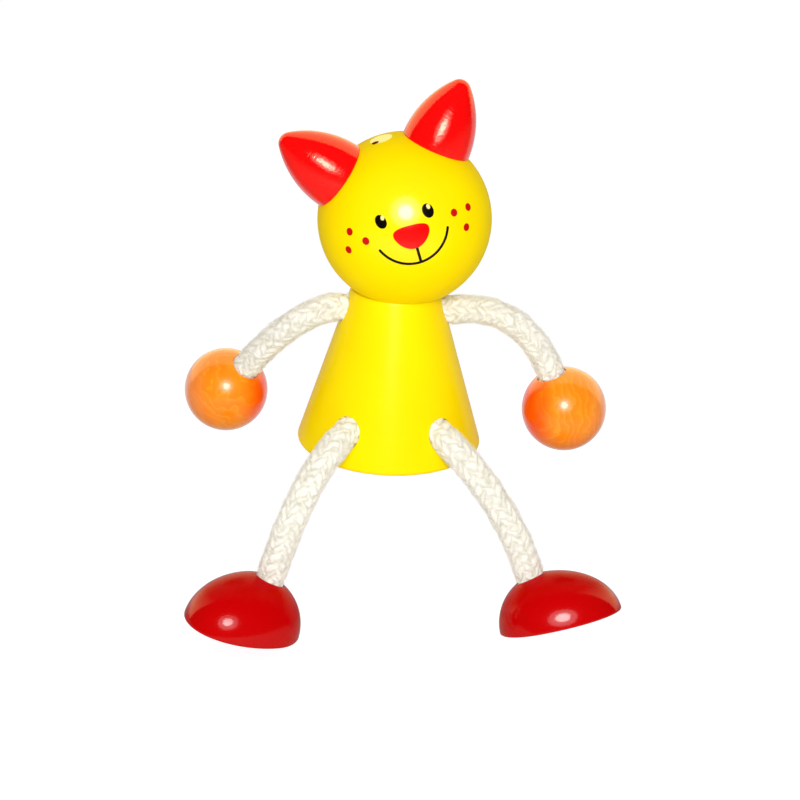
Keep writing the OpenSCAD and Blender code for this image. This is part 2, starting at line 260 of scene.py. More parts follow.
# %% Drill the torso and join it up
index = np.arange(torso_rings.shape[0] * around).reshape(-1, around)
points = [torso_rings.reshape(-1, 3)]
keep = np.ones((len(index) - 1, around), bool)
count, extra_quads, floors = index.size, [], []
windows = {"arm": (27, 28.6 * mm, 37.9 * mm), "leg": (17, 2.4 * mm, 13.6 * mm)}
for name, limb in limbs.items():
    mouth, way = limb["mouth"], limb["way"]
    across = unit(np.cross([0, 0, 1], way))
    upward = np.cross(way, across)
    half_turn, low, high = windows[name.split("_")[1]]
    rows = first_side + np.flatnonzero((side_rows > low) & (side_rows < high))
    first, last = (round((limb["compass"] + turn) / 360 * around) for turn in (-half_turn, half_turn))
    columns = np.arange(first, last + 1) % around
    keep[np.ix_(rows[:-1], columns[:-1])] = False
    block = index[np.ix_(rows, columns)]
    rim = np.concatenate([block[0, :-1], block[:-1, -1], block[-1, :0:-1], block[:0:-1, 0]])
    offset = points[0][rim] - mouth
    angle = np.arctan2(offset @ upward, offset @ across)
    reach = np.hypot(offset @ upward, offset @ across)[:, None]
    out = np.cos(angle)[:, None] * across + np.sin(angle)[:, None] * upward
    rings = [on_cone(mouth, way, out, lip_r + (reach - lip_r) * share)
             for share in (0.82, 0.64, 0.48, 0.34, 0.22, 0.12, 0.05, 0.0)]
    for turn in np.radians([30, 60, 90]):
        lip = on_cone(mouth, way, out, lip_r - hole_lip * np.sin(turn))
        rings.append(lip - hole_lip * (1 - np.cos(turn)) * way)
    bottom = mouth + hole_r * out - hole_depth * way
    rings += [rings[-1] * (1 - share) + bottom * share for share in (0.3, 0.65, 1.0)]
    added = count + np.arange(len(rings) * len(rim)).reshape(len(rings), len(rim))
    extra_quads.append(ring_faces(np.vstack([rim, added[:-1]]), added))
    floors.append(fan(added[-1], count + added.size))
    points += rings + [(mouth - hole_depth * way)[None]]
    count += added.size + 1

quads = ring_faces(index[:-1], index[1:]).reshape(len(index) - 1, around, 4)[keep]
caps = [fan(index[0][::-1], count), fan(index[-1], count + 1)]
points += [np.array([[0, 0, 0], [0, 0, torso_h]])]
turned_torso = make_piece("turned_torso", np.concatenate(points), np.concatenate([quads] + extra_quads),
                          np.concatenate(floors + caps))

# %% [markdown]
# ## The head
# A turned ball with a hole drilled down from the crown. The lathe axis runs through that hole, so it
# is simply part of the outline. The ball was sanded flat where it stands on the torso, and a small
# flat is left on the crown, where the lathe held it: points beyond either level are moved back to it.

# %% Turn the head
def rotation(nod, lean, turn):
    """Rows are the x, y and z axes after a nod about x, then a lean about y, then a turn about z:
    each turns the other two coordinates (a, b) into (a cos - b sin, a sin + b cos)."""
    axes = np.eye(3)
    for k, angle in enumerate(np.radians([nod, lean, turn])):
        a, b = axes[:, k - 2].copy(), axes[:, k - 1].copy()
        axes[:, k - 2] = a * np.cos(angle) - b * np.sin(angle)
        axes[:, k - 1] = a * np.sin(angle) + b * np.cos(angle)
    return axes

head_axes = rotation(head_nod, -head_lean, head_turn)
crown_axes = rotation(crown_hole_fore, -crown_hole_side, 0) @ head_axes
head_at = np.array([head_side, 0, torso_h + math.sqrt(head_r ** 2 - head_flat_r ** 2)])
lip_angle = math.degrees(math.acos((crown_hole_r + 0.12 * mm) / head_r))
hole_floor = head_r - crown_hole_depth
outline = np.concatenate([
    line((0.3 * mm, hole_floor), (crown_hole_r, hole_floor), 3),
    line((crown_hole_r, head_r - 10 * mm), (crown_hole_r, head_r - 0.25 * mm), 12),
    line((crown_hole_r + 0.03 * mm, head_r - 0.1 * mm), (crown_hole_r + 0.06 * mm, head_r - 0.05 * mm), 2),
    arc((0, 0), head_r, lip_angle, 72, 60)[:-1], arc((0, 0), head_r, 72, -89.5, 190)])
rings = placed(turned(outline, 256), crown_axes, head_at)
above_flat = (rings - head_at) @ head_axes[2] - math.sqrt(head_r ** 2 - crown_flat_r ** 2)
rings -= np.maximum(above_flat, 0)[..., None] * head_axes[2]
rings[..., 2] = np.maximum(rings[..., 2], torso_h)
ends = placed([[0, 0, hole_floor], [0, 0, -head_r]], crown_axes, head_at)
ends[1, 2] = max(ends[1, 2], torso_h)
turned_head = closed_skin("turned_head", rings, ends)

# %% [markdown]
# ## The ears
# Each ear is a pointed arch turned round its own axis: the side is an arc whose middle lies beyond
# the far side, and a small ball closes the tip. Its foot is hollowed to sit on the round head, and
# its lower edge is softened.

# %% Turn the ears
ear_base_z = math.sqrt(head_r ** 2 - ear_base_r ** 2)
ear_arc_x = ear_base_r - ear_side_r
ear_tip_z = math.sqrt((ear_side_r - ear_tip_r) ** 2 - ear_arc_x ** 2)
tip_angle = math.degrees(math.atan2(ear_tip_z, -ear_arc_x))
seat_r, ear_edge = head_r + 0.05 * mm, 0.4 * mm
seat_angle = math.degrees(math.acos((ear_base_r - ear_edge) / seat_r))
rounding = np.radians(np.linspace(-50, 0, 7))
outline = np.concatenate([
    arc((0, 0), seat_r, 89.6, seat_angle, 26),
    np.stack([ear_base_r - ear_edge * (1 - np.cos(rounding)),
              ear_base_z + ear_edge * (1 + np.sin(rounding))], -1),
    arc((ear_arc_x, ear_base_z), ear_side_r, 1.6, tip_angle, 80)[:-1],
    arc((0, ear_base_z + ear_tip_z), ear_tip_r, tip_angle, 88, 14)])
painted_ears, ear_axes = {}, {}
for side, sign in (("left", 1), ("right", -1)):
    ear_axes[side] = rotation(0, sign * ear_angle, 0) @ head_axes
    painted_ears[side] = closed_skin(
        f"turned_{side}_ear", turned(outline, 160),
        [[0, 0, seat_r], [0, 0, ear_base_z + ear_tip_z + ear_tip_r]], ear_axes[side], head_at)

# %% [markdown]
# ## The hands
# A hand is a small turned ball with the rope's hole drilled toward its middle. The hole is the lathe
# axis again, so ball, lip and hole are one outline.

# %% Turn the hands
def frame_on(z, x):
    """The rows x, y and z of a piece's own frame, from its z and any length along its x."""
    return np.stack([unit(x), np.cross(z, unit(x)), z])

lip_z = math.sqrt(hand_r ** 2 - lip_r ** 2)
hole_floor = lip_z - hole_depth
turn = np.radians(np.linspace(90, 0, 5))
outline = np.concatenate([
    line((0.4 * mm, hole_floor), (hole_r, hole_floor), 6),
    line((hole_r, hole_floor + 0.4 * mm), (hole_r, lip_z - 2 * hole_lip), 8),
    np.stack([hole_r + hole_lip * (1 - np.sin(turn)), lip_z - hole_lip * (1 - np.cos(turn)) * 1.2], -1),
    arc((0, 0), hand_r, math.degrees(math.acos((hole_r + hole_lip * 1.4) / hand_r)), -89.3, 120)])
turned_hands = {}
for side in ("left", "right"):
    limb = limbs[f"{side}_arm"]
    axes = frame_on(-limb["end_way"], np.cross([0, 1, 0], -limb["end_way"]))
    turned_hands[side] = closed_skin(f"turned_{side}_hand", turned(outline, 200),
                                     [[0, 0, hole_floor], [0, 0, -hand_r]], axes, limb["middle"])

# %% [markdown]
# ## The feet
# A foot is half of a turned egg: a round heel, a longer toe, a flat sole and the rope's hole square
# to it. The dome is a height above every point of the sole, so the rings start at the hole and walk
# straight out to the sole's edge.

# %% Shape the feet
foot_edge = 0.5 * mm
compass = np.linspace(0, 2 * np.pi, 240, endpoint=False)

def egg_height(x, y):
    """Height of the half egg: the square root of R(x)^2 - y^2, where the outline R is a circle's
    behind the widest place and an ellipse's, longer by the toe, before it."""
    stretch = np.where(x > 0, foot_r / foot_toe, 1.0)
    return np.sqrt(np.maximum(foot_r ** 2 - (x * stretch) ** 2 - y ** 2, 0))

def egg_reach(height):
    """Distance from the hole's axis to where the egg is `height` high, in every compass direction."""
    found = []
    for stretch in (foot_r / foot_toe, 1.0):
        c, s = np.cos(compass) * stretch, np.sin(compass)
        x0 = -foot_hole_back * stretch
        a, b, k = c * c + s * s, 2 * x0 * c, x0 * x0 - foot_r ** 2 + height ** 2
        found.append((-b + np.sqrt(b * b - 4 * a * k)) / (2 * a))
    return np.where(-foot_hole_back + found[0] * np.cos(compass) > 0, found[0], found[1])

def foot_ring(distance, height=None):
    """One ring of points at a distance from the hole's axis, on the dome or at a set height."""
    x, y = -foot_hole_back + distance * np.cos(compass), distance * np.sin(compass)
    return np.stack([x, y, egg_height(x, y) if height is None else height + 0 * x], -1)

dome_edge, hole_floor = egg_reach(foot_edge), foot_mouth - hole_depth
rings = [foot_ring(0.4 * mm, hole_floor), foot_ring(hole_r, hole_floor)]
rings += [foot_ring(hole_r, foot_mouth - drop * mm) for drop in (2.4, 1.6, 0.8)]
for angle in np.radians([90, 60, 30]):
    ring = foot_ring(lip_r - hole_lip * np.sin(angle))
    ring[:, 2] -= hole_lip * (1 - np.cos(angle))
    rings.append(ring)
rings += [foot_ring(lip_r + (dome_edge - lip_r) * math.sin(t * math.pi / 2)) for t in np.linspace(0, 1, 90)]
rings += [foot_ring(dome_edge - foot_edge * (1 - math.cos(a)), foot_edge * (1 - math.sin(a)))
          for a in np.radians([15, 30, 45, 60, 75, 90])]
rings += [foot_ring((dome_edge - foot_edge) * share, 0) for share in (0.97, 0.85, 0.6, 0.35, 0.12)]
foot_rings = np.array(rings)
painted_feet, foot_axes, soles = {}, {}, []
for side, toe_turn in (("left", -20), ("right", 218)):
    limb = limbs[f"{side}_leg"]
    z = -limb["end_way"]
    level = heading(toe_turn, 0)
    axes = foot_axes[side] = frame_on(z, level - (level @ z) * z)
    sole_at = limb["end"] - foot_mouth * z + foot_hole_back * axes[0]
    painted_feet[side] = closed_skin(f"half_egg_{side}_foot", foot_rings, [
        [-foot_hole_back, 0, hole_floor], [-foot_hole_back, 0, 0]], axes, sole_at)
    soles.append(float(placed(foot_rings, axes, sole_at)[..., 2].min()))
lowest = min(soles)
print("lowest point of the feet", round(lowest / mm, 2), "mm")

# %% [markdown]
# ## The braided rope
# Eight strands wind one way round the rope and eight the other, each over two and then under two.
# They press into each other, so one skin that rises and falls with the braid looks the same as 16
# separate strands and bends without gaps. Along a strand the height swings between over and under,
# and across it the height is rounded like a yarn. Where two strands meet, the higher one wins, and
# that draws the V shapes of a real braid.

# %% The braid as a height
strands, braid_step, braid_relief = 8, 2.25 * mm, 0.72 * mm
wander, fullness, strand_shift = 0.24, 0.8, 1.37
chance = np.random.default_rng(7)
ripples = np.stack([chance.integers(-5, 6, 24), chance.uniform(0.25, 3.2, 24),
                    chance.uniform(0, 6.28, 24)], 1)

def uneven(along, angle, which):
    """Smooth unevenness of about -1 to 1: the mean of eight waves sin(k angle + f along + phase),
    times 2, with whole numbers k, so that it closes round the rope."""
    total = 0
    for k, f, phase in ripples[which * 8:which * 8 + 8]:
        total = total + np.sin(k * angle + f * along / mm + phase)
    return total / 4

def braid(along, angle):
    """Height from 0 to 1, and the fibre coordinates. With u = strands * angle / turn, strand lines
    are u + s/p and u - s/p; each swings over and under as cos(pi/2 (sum - 1.5)). No strand lies
    quite where it should, so both lines wander a little."""
    u, v = strands * angle / (2 * np.pi), along / braid_step
    one, other = u + v + wander * uneven(along, angle, 0), u - v + wander * uneven(along, angle, 1)
    swing = np.cos(np.pi / 2 * (one + other - 1.5))
    shape_one, shape_other = (np.cos(np.pi * (strand % 1 - 0.5)) ** fullness for strand in (one, other))
    high_one, high_other = 0.55 * shape_one + 0.3 * swing, 0.55 * shape_other - 0.3 * swing
    over = high_one > high_other
    height = (np.maximum(high_one, high_other) + 0.1) / 0.95 + 0.2 * uneven(along, angle, 2)
    upper = np.where(over, one, other)
    across = upper % 1 + np.floor(upper) * strand_shift
    return height, np.stack([np.where(over, other, one), across, height], -1)

# %% Carry the braid along a limb
ring_step, ring_points, tuck = 0.13 * mm, 168, 3 * mm
arm_thick, leg_thick, lump, lump_pace, settled = 3.18 * mm, 3.38 * mm, 0.09 * mm, 2.5, 4 * mm

def curve(limb, t):
    """The limb's cubic curve: (1-t)^3 a + 3 t (1-t)^2 b + 3 t^2 (1-t) c + t^3 d."""
    t = t[:, None]
    a, d = limb["start"], limb["end"]
    b, c = a + limb["pulls"][0] * limb["way"], d - limb["pulls"][1] * limb["end_way"]
    return (1 - t) ** 3 * a + 3 * t * (1 - t) ** 2 * b + 3 * t * t * (1 - t) * c + t ** 3 * d

def course(limb):
    """Points at even steps along the rope, from `tuck` inside one hole to `tuck` inside the other."""
    free = curve(limb, np.linspace(0, 1, 600))
    path = np.vstack([limb["mouth"] - tuck * limb["way"], free, limb["end"] + tuck * limb["end_way"]])
    run = np.concatenate([[0], np.cumsum(np.linalg.norm(np.diff(path, axis=0), axis=1))])
    even = np.linspace(0, run[-1], round(run[-1] / ring_step) + 1)
    return np.stack([np.interp(even, run, path[:, k]) for k in range(3)], -1), even, run[1], run[-2]

def rope_rings(limb, thick):
    """Rings square to the rope: the radius is the rope's own, less the braid's grooves. Between its
    ends it is `thick` and a little lumpy, it fills the hole at the torso, and the hand or foot
    squeezes it."""
    path, run, free_start, free_end = course(limb)
    way = unit(np.gradient(path, axis=0))
    side = unit(np.cross(way, unit(np.cross(limb["way"], limb["end_way"]))))
    upward = np.cross(way, side)
    angle = np.linspace(0, 2 * np.pi, ring_points, endpoint=False)
    height, lay = braid(run[:, None], angle[None])
    places = [free_start + 0.5 * mm, free_start + settled, free_end - settled, free_end - 0.5 * mm]
    outer = np.interp(run, places, [hole_r - 0.02 * mm, thick, thick, rope_r + 0.05 * mm])[:, None]
    lumps = lump * uneven(run[:, None] * lump_pace, angle[None], 0) * (outer - hole_r < -0.04 * mm)
    radius = (outer - braid_relief * (1 - height).clip(0) + lumps)[..., None]
    rings = path[:, None] + radius * (np.cos(angle)[None, :, None] * side[:, None]
                                      + np.sin(angle)[None, :, None] * upward[:, None])
    return rings, lay, path, run, free_start, free_end

# %% [markdown]
# Cotton is spun from short fibres, and those that stand out of the yarn make a rope's edge look soft.
# So loose fibres are laid over the braid: each is a thin three-sided tube that leaves the skin, runs
# about along the rope and bends away from it or back.

# %% Loose fibres
fibre_count, fibre_r = 3000, 0.028 * mm

def loose_fibres(rings, path, first, last):
    """Points (fibre, ring, corner) of thin tubes between two ring numbers. A fibre is the curve
    p(t) = a + t b + t (1 - t) c, with a on the skin, b mostly along the rope and c outwards."""
    def some(low, high): return chance.uniform(low, high, fibre_count)[:, None]
    row = chance.integers(first, last, fibre_count)
    start = rings[row, chance.integers(0, ring_points, fibre_count)]
    out, way = unit(start - path[row]), unit(path[row + 1] - path[row])
    way *= np.where(chance.random(fibre_count) < 0.5, -1, 1)[:, None]
    sideways = np.cross(way, out)
    span = some(0.5, 1.9) * mm
    reach = span * (way + sideways * some(-0.9, 0.9)) + out * some(-0.12, 0.42) * mm
    arch = out * some(0.1, 1.3) * mm
    t = np.linspace(0, 1, 5)[None, :, None]
    middle = (start - 0.04 * mm * out)[:, None] + t * reach[:, None] + t * (1 - t) * arch[:, None]
    thin = fibre_r * (1 - 0.7 * t)
    return np.stack([middle + thin * (math.cos(a) * out + math.sin(a) * sideways)[:, None]
                     for a in np.radians([0, 120, 240])], 2)

# %% [markdown]
# Each rope crosses two hinges, one near either end, and a bend can follow only one of them. So a rope
# is made as two pieces that meet in its middle on the very same ring of points: an inner half from
# the torso and an outer half to the hand or foot.

# %% Make both halves of every rope
def rope_half(name, rings, lay, path, first, last):
    """One closed half of a rope with its loose fibres, and its fibre coordinates as an attribute."""
    fibres = loose_fibres(rings, path, first, last)
    skin, quads, triangles = skin_of(rings, (path[0], path[-1]))
    points = np.vstack([skin, fibres.reshape(-1, 3)])
    index = len(skin) + np.arange(fibres[..., 0].size).reshape(fibres.shape[:3])
    more_quads = ring_faces(index[:, :-1], index[:, 1:])
    ends = np.concatenate([index[:, 0, ::-1], index[:, -1]])
    if (volume_of(points, quads, triangles) > 0) != (volume_of(points, more_quads, ends) > 0):
        more_quads, ends = more_quads[:, ::-1], ends[:, ::-1]
    piece = make_piece(name, points, np.concatenate([quads, more_quads]),
                       np.concatenate([ends, triangles]), flat=2 * ring_points)
    shift = np.repeat(chance.uniform(0, 40, (len(fibres), 1, 1)), fibres.shape[1] * 3, 1)
    values = np.vstack([lay.reshape(-1, 3), lay[0].mean(0), lay[-1].mean(0),
                        (shift * [1, 1, 0] + [0, 0, 1]).reshape(-1, 3)]).astype(np.float32)
    attribute = piece.data.attributes.new("lay", "FLOAT_VECTOR", "POINT")
    attribute.data.foreach_set("vector", values.ravel())
    return piece

rope_pieces = []
for name, limb in limbs.items():
    rings, lay, path, run, free_start, free_end = rope_rings(limb, leg_thick if "leg" in name else arm_thick)
    free = free_end - free_start
    middle, start, end = (int(np.searchsorted(run, v)) for v in
                          ((free_start + free_end) / 2, free_start + 0.6 * mm, free_end - 0.4 * mm))
    tip = name.replace("arm", "hand").replace("leg", "foot")
    for half, rows, first, last, bodies, bend in (
            ("inner", slice(0, middle + 1), start, middle, ("torso", name), (0.02, 0.44)),
            ("outer", slice(middle, None), 0, end - middle, (name, tip), (0.56, 0.98))):
        piece = rope_half(f"{name}_rope_{half}", rings[rows], lay[rows], path[rows], first, last)
        bend_start, bend_end = (tuple(path[int(np.searchsorted(run, free_start + share * free))])
                                for share in bend)
        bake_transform(piece)
        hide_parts(f"{name}_rope")
        rope_pieces.append(piece)
    print(f"{name}: free rope {free / mm:.1f} mm, {len(rings)} rings")

# %% [markdown]
# ## Writing shader maths as Python
# A material is a web of small nodes. One class wraps a socket, so that sums are written as sums, and
# one method makes any other node from its type, its settings and its inputs.

# %% A wire, its web and a finish
class Wire:
    """One socket's value, which can be added, multiplied and compared like a number."""
    def __init__(self, web, socket):
        self.web, self.socket = web, socket

    def math(self, operation, *values):
        return self.web.node("ShaderNodeMath", {"operation": operation}, dict(enumerate(values)))

    def __add__(self, other): return self.math("ADD", self, other)
    def __sub__(self, other): return self.math("SUBTRACT", self, other)
    def __mul__(self, other): return self.math("MULTIPLY", self, other)
    def __rsub__(self, other): return self.math("SUBTRACT", other, self)
    def __abs__(self): return self.math("ABSOLUTE", self)
    __radd__, __rmul__ = __add__, __mul__

    def least(self, other): return self.math("MINIMUM", self, other)
    def most(self, other): return self.math("MAXIMUM", self, other)
    def root(self): return self.math("SQRT", self.most(0.0))
    def held(self, high=1.0): return self.most(0.0).least(high)
    def inside(self, soft=0.04): return (0.5 - self * (1 / soft)).held()

class Web:
    """The nodes of one material or world."""
    def __init__(self, tree):
        self.tree = tree
        tree.nodes.clear()

    def feed(self, socket, value):
        if isinstance(value, Wire):
            self.tree.links.new(value.socket, socket)
        else:
            socket.default_value = value

    def node(self, kind, settings, inputs, output=0):
        """A node from its type, its settings and what goes into its sockets; gives one output."""
        node = self.tree.nodes.new(kind)
        for key, value in settings.items():
            setattr(node, key, value)
        for key, value in inputs.items():
            self.feed(node.inputs[key], value)
        return Wire(self, node.outputs[output])

    def place(self):
        return self.node("ShaderNodeTexCoord", {}, {}, "Object")

    def noise(self, vector, scale, detail=2.0, rough=0.5):
        return self.node("ShaderNodeTexNoise", {},
                         {"Vector": vector, "Scale": scale, "Detail": detail, "Roughness": rough})

    def stretched(self, vector, scale, turn=(0, 0, 0), at=(0, 0, 0)):
        return self.node("ShaderNodeMapping", {},
                         {"Vector": vector, "Location": at, "Rotation": turn, "Scale": scale})

    def mix(self, share, first, second):
        return self.node("ShaderNodeMix", {"data_type": "RGBA"}, {0: share, 6: first, 7: second}, 2)

    def vector(self, operation, inputs, output="Vector"):
        return self.node("ShaderNodeVectorMath", {"operation": operation}, inputs, output)

    def along(self, vector, axis):
        """How far a vector reaches along an axis: their dot product."""
        return self.vector("DOT_PRODUCT", {0: vector, 1: tuple(axis)}, "Value")

    def past(self, start, axis):
        """Millimetres along an axis from a point."""
        return self.along(self.place(), axis / mm) - float(axis @ start / mm)

class Finish(Web):
    """A material whose surface is a Principled BSDF. A socket's name is written with _ for a space."""
    def __init__(self, name, **constants):
        self.material = bpy.data.materials.new(name)
        self.material.use_nodes = True
        super().__init__(self.material.node_tree)
        self.shader = Wire(self, self.tree.nodes.new("ShaderNodeBsdfPrincipled").outputs[0])
        self.output = self.tree.nodes.new("ShaderNodeOutputMaterial")
        self.feed(self.output.inputs[0], self.shader)
        self.surface(**constants)

    def surface(self, **values):
        for key, value in values.items():
            self.feed(self.shader.socket.node.inputs[key.replace("_", " ")], value)

    def bump(self, height, strength, depth):
        return self.node("ShaderNodeBump", {}, {"Strength": strength, "Distance": depth, "Height": height})

    def grained(self, height, least, spread, strength, depth):
        """Roughness of least + spread * height, and bumps of that height."""
        self.surface(Roughness=least + height * spread, Normal=self.bump(height, strength, depth))

def paint(piece, finish, slot):
    """Gives a piece its finish and prints the slot that it stands for."""
    piece.data.materials.clear()
    piece.data.materials.append(finish.material)
    print(f"{piece.name}: {finish.material.name}, {slot}")

# %% [markdown]
# ## Painted wood
# The paint is a thick gloss that hides the grain but not every pore. A broad noise lets the colour
# drift, and a fine one roughens the surface under a thin clear layer. The feet were dipped, so their
# gloss is thick near the sole and thin on top. The ears keep the lathe's fine marks, which run round
# them and draw a lamp's image out into a long strip.

# %% Paint for torso, ears and feet
def drifting(finish, colour, deeper):
    """A colour that drifts a little toward a deeper one."""
    return finish.mix((finish.noise(finish.place(), 70.0, 3.0) - 0.35) * 0.9, colour, deeper)

def gloss_paint(name, colour, deeper, coat, coat_rough, shine):
    """Drifting paint under a clear layer: the layer's weight and roughness, and the paint's shine."""
    finish = Finish(name, Coat_Weight=coat, Coat_Roughness=coat_rough, Coat_IOR=1.5, IOR=1.5,
                    Specular_IOR_Level=shine)
    finish.surface(Base_Color=drifting(finish, colour, deeper))
    return finish

yellow = ((1.0, 0.80, 0.0, 1), (0.97, 0.68, 0.0, 1))
fine_pores = dict(least=0.46, spread=0.08, strength=0.12, depth=0.08 * mm)
torso_paint = gloss_paint("yellow_torso_paint", *yellow, 0.22, 0.2, 0.02)
torso_paint.grained(torso_paint.noise(torso_paint.stretched(torso_paint.place(), (1.0, 1.0, 0.35)),
                                      900.0, 3.0, 0.6), **fine_pores)
paint(turned_torso, torso_paint, "yellow_paint")

lathe_marks, dip_height, dip_fade = (500, 500, 3000), 4.0, 0.3
for side in ("left", "right"):
    ear_paint = gloss_paint(f"red_{side}_ear_paint", (0.93, 0.002, 0.003, 1), (0.83, 0.001, 0.002, 1),
                            0.0, 0.1, 0.85)
    turned_place = ear_paint.node("ShaderNodeCombineXYZ", {}, {
        k: ear_paint.along(ear_paint.place(), ear_axes[side][k] * lathe_marks[k]) for k in range(3)})
    ear_paint.grained(ear_paint.noise(turned_place, 1.0), 0.08, 0.06, 1.0, 0.05 * mm)
    ear_paint.surface(Specular_Tint=(1.0, 0.70, 0.52, 1))
    paint(painted_ears[side], ear_paint, "ear_red")
    foot_paint = gloss_paint(f"red_{side}_foot_paint", (0.54, 0.0, 0.001, 1), (0.44, 0.0, 0.0, 1),
                             0.5, 0.1, 0.04)
    upward = foot_axes[side][2]
    height = foot_paint.past(limbs[f"{side}_leg"]["end"] - foot_mouth * upward, upward)
    foot_paint.surface(Coat_Weight=(1.0 - (height - dip_height) * dip_fade).held() * 0.65)
    foot_paint.grained(foot_paint.noise(foot_paint.place(), 1700.0, 2.0, 0.6), 0.16, 0.08, 1.0, 0.06 * mm)
    paint(painted_feet[side], foot_paint, "foot_red")

# %% [markdown]
# ## The painted face
# The face is printed on the ball: two oval eyes with a pale dot, a red nose, a stroke down to a wide
# smile, and three freckles on each cheek. Each mark is a distance from its edge, measured on the
# head, and the paint covers what lies within, so the edge stays sharp at any distance. The varnish
# lies over the front of the ball only. The crown's flat is painted pale, a painted reflection of the
# light behind the toy, and the hanging hole is painted dark brown, a painted shade over bare wood.

# %% Directions on the head
head_finish = Finish("yellow_face_paint", Coat_Roughness=0.14, IOR=1.5, Specular_IOR_Level=0.02)
seen = head_finish.vector("SUBTRACT", {0: head_finish.place(), 1: tuple(head_at)})
seen = head_finish.vector("SCALE", {0: seen, "Scale": 1 / head_r})
head_mm = head_r / mm

def on_face(turn, rise):
    """Axes to the left, up and outwards at a place on the head, from its turn toward the cat's left
    and its rise, in degrees and before the head leans."""
    out, left = heading(turn - 90, rise), heading(turn, 0)
    return left, np.cross(out, left), out

def mark_at(turn, rise):
    """Millimetres to the left and up of a mark's middle, and how far the place faces the same way."""
    return [head_finish.along(seen, axis @ head_axes * size)
            for axis, size in zip(on_face(turn, rise), (head_mm, head_mm, 1))]

def this_side(facing):
    """1 on the half of the head that faces a direction, 0 on the other."""
    return (facing * 1000).held()

def leaned(x, y, lean):
    """Two measures taken along axes that lean by an angle in degrees."""
    c, s = math.cos(math.radians(lean)), math.sin(math.radians(lean))
    return x * c + y * s, y * c - x * s

def oval(turn, rise, half_width, half_height, shift=(0.0, 0.0), lean=0.0):
    """An oval mark: 1 inside, 0 outside. The distance is (length of (x/a, y/b) - 1) times a."""
    x, y, facing = mark_at(turn, rise)
    x, y = leaned(x - shift[0], y - shift[1], lean)
    away = ((x * x) * (1 / half_width ** 2) + (y * y) * (1 / half_height ** 2)).root()
    return ((away - 1.0) * half_width).inside() * this_side(facing)

def any_of(marks):
    """1 where any of several marks is."""
    first, *rest = marks
    for mark in rest:
        first = first.most(mark)
    return first

# %% Draw the eyes and the freckles
eye_places = ((-18.6, 21.7, 1.22, 23, (0.50, 0.78)), (14.2, 20.0, 1.28, 1.5, (0.41, 0.82)))
freckle_places = ((-43.2, 17.6), (-31.6, 11.1), (-46.6, 5.7), (43.6, 9.8), (31.0, 11.7), (36.6, -1.0))
freckle_r = 0.88
eyes = [oval(turn, rise, half_width, 1.62, lean=lean) for turn, rise, half_width, lean, _ in eye_places]
pupil_dots = any_of(oval(turn, rise, 0.44, 0.58, shift=dot) for turn, rise, _, _, dot in eye_places)
freckles = any_of(oval(turn, rise, freckle_r, freckle_r) for turn, rise in freckle_places)
print(len(eye_places), "eyes and", len(freckle_places), "freckles")

# %% Draw the smile and the stroke above it
smile_turn, smile_rise, smile_reach, smile_ends, line_half = -0.6, 14.7, 25.0, (-156.3, -20.2), 0.32
stroke_top, stroke_foot = 0.07, -3.59

def from_mark(turn, rise, reach, angle):
    """The turn and rise of a place `reach` degrees from a mark, at an angle from the cat's left."""
    left, upward, out = on_face(turn, rise)
    r, a = math.radians(reach), math.radians(angle)
    spot = out * math.cos(r) + (left * math.cos(a) + upward * math.sin(a)) * math.sin(r)
    return math.degrees(math.atan2(spot[0], -spot[1])), math.degrees(math.asin(spot[2]))

x, y, facing = mark_at(smile_turn, smile_rise)
reach, (first, last) = math.radians(smile_reach), np.radians(smile_ends)
middle, span = (first + last) / 2, (last - first) / 2
ring = abs(facing - math.cos(reach)) * (head_mm / math.sin(reach))
past_end = head_mm * math.sin(reach) * math.cos(span) - (x * math.cos(middle) + y * math.sin(middle))
smile = (ring - line_half).inside() * past_end.inside()
rounded_ends = [oval(*from_mark(smile_turn, smile_rise, smile_reach, angle), line_half, line_half)
                for angle in smile_ends]
across, upward, facing = mark_at(-0.1, 0)
stroke = ((abs(across) - line_half).inside() * (upward - stroke_top).inside()
          * (stroke_foot - upward).inside() * this_side(facing))
black = any_of([*eyes, smile, *rounded_ends, stroke])
print(f"smile {2 * math.degrees(span):.0f} degrees round a ring of {head_mm * math.sin(reach):.1f} mm")

# %% Draw the nose
x, y, nose_facing = mark_at(-0.9, 7.45)
x, y = leaned(x, y, -2.5)
nose_corner = 3.0

def disc(cx, cy, radius):
    """Distance outside a disc of the nose, in millimetres."""
    return ((x - cx) * (x - cx) + (y - cy) * (y - cy)).root() - radius

# The nose is where three discs overlap: the largest of their distances, rounded at the corners
nose_edge = disc(0, -14.11, 16.8)
for cx in (-2.04, 2.04):
    nose_edge = nose_edge.math("SMOOTH_MAX", nose_edge, disc(cx, 3.12, 6.62), nose_corner)
nose = nose_edge.inside() * this_side(nose_facing)

# %% Put the face on the head's paint
def round_spot(axes, radius, soft):
    """1 within `radius` millimetres of the line along the last of three axes, at that end of it."""
    x, y, facing = (head_finish.along(seen, axis) for axis in axes)
    return ((x * x + y * y).root() * head_mm - radius).inside(soft) * this_side(facing)
